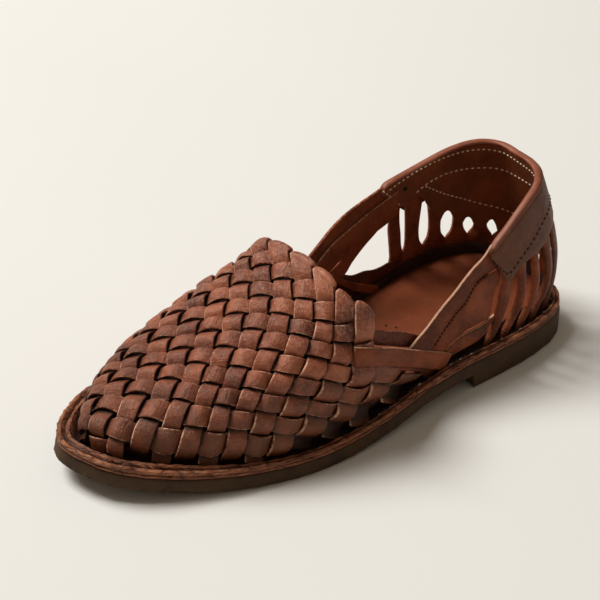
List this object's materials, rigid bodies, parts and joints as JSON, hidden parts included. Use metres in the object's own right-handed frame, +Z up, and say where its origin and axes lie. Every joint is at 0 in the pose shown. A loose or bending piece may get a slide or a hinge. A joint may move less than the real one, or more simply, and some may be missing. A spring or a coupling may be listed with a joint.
{
  "type": "woven loafer",
  "caption": "Flat leather slip-on shoe for the left foot: hollow basket-woven vamp, open slatted sides and heel, folded collar band, leather midsole, rubber outsole with heel.",
  "frame": {"origin": "on the floor, under the middle of the shoe's box", "axes": "+X from the heel to the toe, +Y to the outer (lateral) side of the foot, +Z up"},
  "size_m": [0.2762, 0.1033, 0.0866],
  "materials": {
    "outsole_rubber": "matt dark brown rubber",
    "welt_leather": "cut and burnished red-brown leather edge",
    "footbed_leather": "smooth red-brown footbed",
    "woven_leather": "satin brown straps with pale cut edges",
    "collar_leather": "satin brown folded band"
  },
  "bodies": {
    "root": {"outsole": "outsole_rubber", "midsole": "welt_leather", "insole": "footbed_leather", "upper": "woven_leather", "collar": "collar_leather"}
  },
  "joints": []
}
